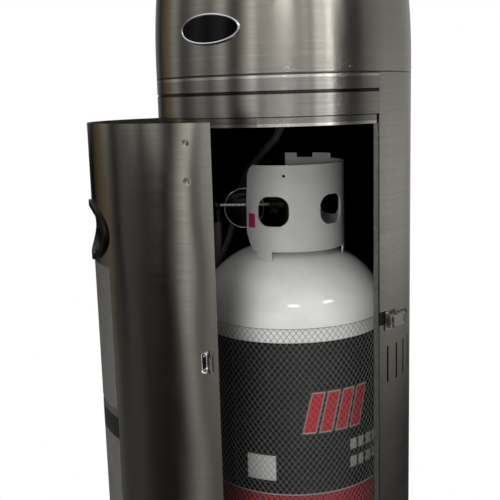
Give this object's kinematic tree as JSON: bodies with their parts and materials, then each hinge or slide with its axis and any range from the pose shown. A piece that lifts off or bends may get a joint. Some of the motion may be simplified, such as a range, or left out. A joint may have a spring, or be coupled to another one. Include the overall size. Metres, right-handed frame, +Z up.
{
  "type": "patio heater",
  "caption": "Free-standing gas patio heater: round steel housing with a hinged door standing open on a gas bottle, domed top, post, burner and wide reflector.",
  "frame": {"origin": "centre of the base plate underside, on the floor", "axes": "+Z up, -Y to the front where the door opening is, +X to the right seen from the front"},
  "size_m": [0.8119, 0.812, 2.208],
  "materials": {
    "brushed_stainless": "brushed, satin",
    "dark_steel": "black powder coat",
    "galvanised_steel": "galvanised",
    "cast_weight": "as cast",
    "chrome": "polished",
    "zinc_plate": "zinc plated",
    "black_plastic": "moulded",
    "black_rubber": "moulded",
    "foil_label": "printed foil",
    "white_enamel": "gloss white",
    "brass": "machined",
    "zinc_casting": "satin",
    "printed_sleeve": "printed film",
    "net_plastic": "extruded net",
    "hose_rubber": "extruded",
    "heat_steel": "perforated",
    "aluminium_sheet": "spun, satin",
    "tyre_rubber": "moulded"
  },
  "bodies": {
    "housing": {"base_plate": "dark_steel", "foot_ring": "galvanised_steel", "ballast_weight": "cast_weight", "bottle_tray": "galvanised_steel", "body_shell": "brushed_stainless", "latch_jamb": "galvanised_steel", "latch_bumper": "black_rubber", "header_band": "brushed_stainless", "top_ring": "galvanised_steel", "dome_cover": "brushed_stainless", "dome_rivets": "zinc_plate", "badge_bezel": "chrome", "badge_plate": "black_plastic", "hinge_body_leaves": "zinc_plate", "hinge_pins": "zinc_plate", "latch_base": "zinc_plate", "latch_rivets": "zinc_plate", "latch_pin": "zinc_plate", "post_base": "galvanised_steel", "post": "brushed_stainless", "post_trim_ring": "brushed_stainless", "gas_hose": "hose_rubber", "pipe_coupling": "zinc_plate", "gas_pipe": "brass", "control_housing": "brushed_stainless", "gas_valve": "brass", "igniter_body": "black_plastic", "tilt_switch": "black_plastic", "burner_head": "heat_steel", "pilot_assembly": "heat_steel", "emitter_screen": "heat_steel", "emitter_cap": "brushed_stainless", "reflector": "aluminium_sheet", "reflector_studs": "zinc_plate", "wing_nuts": "zinc_plate", "wheel_bracket": "dark_steel", "wheel_axle": "zinc_plate"},
    "door": {"door_panel": "brushed_stainless", "door_frame": "galvanised_steel", "door_handle": "black_plastic", "door_labels": "foil_label", "hinge_door_leaves": "zinc_plate", "door_keeper": "chrome", "keeper_rivets": "chrome"},
    "latch_lever": {"latch_lever": "zinc_plate"},
    "latch_bail": {"latch_bail": "zinc_plate"},
    "bottle": {"bottle_shell": "white_enamel", "bottle_foot": "white_enamel", "bottle_collar": "white_enamel", "bottle_sleeve": "printed_sleeve", "bottle_net": "net_plastic", "bottle_valve": "brass", "regulator": "zinc_casting", "hose_fitting": "zinc_plate"},
    "valve_handwheel": {"valve_handwheel": "black_plastic"},
    "coupling_nut": {"coupling_nut": "black_plastic"},
    "control_knob": {"control_knob": "black_plastic"},
    "igniter_button": {"igniter_button": "black_plastic"},
    "wheel_left": {"wheel_left": "tyre_rubber"},
    "wheel_right": {"wheel_right": "tyre_rubber"}
  },
  "joints": [
    {"name": "door_hinge", "type": "hinge", "parent": "housing", "child": "door", "pos_m": [-0.19904, 0.05111, 0.48], "axis": [0, 0, -1], "range_deg": [-43.2, 75]},
    {"name": "latch_lever_pivot", "type": "hinge", "parent": "housing", "child": "latch_lever", "pos_m": [0.15901, -0.14099, 0.572], "axis": [0, 0, -1], "range_deg": [0, 100]},
    {"name": "latch_bail_pivot", "type": "hinge", "parent": "latch_lever", "child": "latch_bail", "pos_m": [0.16514, -0.13437, 0.572], "axis": [0, 0, -1], "range_deg": [0, 90]},
    {"name": "bottle_lift", "type": "slide", "parent": "housing", "child": "bottle", "axis": [0, 0, 1], "range_m": [0, 0.02], "deforming": ["gas_hose"]},
    {"name": "handwheel_turn", "type": "hinge", "parent": "bottle", "child": "valve_handwheel", "pos_m": [0.0069, 0, 0.768], "axis": [0, 0, 1], "range_deg": [0, 720]},
    {"name": "coupling_nut_turn", "type": "hinge", "parent": "bottle", "child": "coupling_nut", "pos_m": [-0.02, 0, 0.741], "axis": [1, 0, 0], "continuous": true},
    {"name": "knob_turn", "type": "hinge", "parent": "housing", "child": "control_knob", "pos_m": [0, -0.1, 1.79], "axis": [0, -1, 0], "range_deg": [-120, 0]},
    {"name": "igniter_press", "type": "slide", "parent": "housing", "child": "igniter_button", "axis": [-0.5, 0.866, 0], "range_m": [0, 0.005], "stiffness_N_per_m": 600, "springref_m": -0.001},
    {"name": "wheel_left_spin", "type": "hinge", "parent": "housing", "child": "wheel_left", "pos_m": [-0.061, 0.262, 0.052], "axis": [1, 0, 0], "continuous": true},
    {"name": "wheel_right_spin", "type": "hinge", "parent": "housing", "child": "wheel_right", "pos_m": [0.061, 0.262, 0.052], "axis": [1, 0, 0], "continuous": true}
  ]
}
